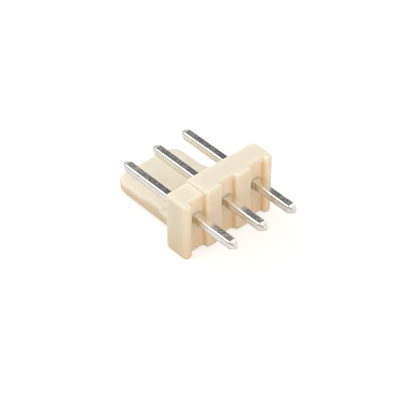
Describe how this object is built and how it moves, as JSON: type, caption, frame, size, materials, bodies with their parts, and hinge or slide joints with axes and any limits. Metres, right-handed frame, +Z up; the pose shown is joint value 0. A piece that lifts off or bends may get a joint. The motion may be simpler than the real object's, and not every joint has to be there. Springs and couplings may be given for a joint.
{
  "type": "wire-to-board header",
  "caption": "Single-row wire-to-board header: square tinned posts through a nylon base with standoff legs and a friction-lock wall with a lock ridge.",
  "frame": {"origin": "middle of the footprint, on the surface that the header lies on", "axes": "+X along the row from the first post to the last, +Y along the posts towards their mating ends, +Z up, away from the friction-lock wall's outer face"},
  "size_m": [0.0118, 0.0186, 0.0074],
  "materials": {
    "nylon": "natural cream moulded nylon, faintly translucent",
    "tinned_post": "bright tin plating over a copper alloy"
  },
  "bodies": {
    "root": {"housing": "nylon", "post_1": "tinned_post", "post_2": "tinned_post", "post_3": "tinned_post"}
  },
  "joints": []
}
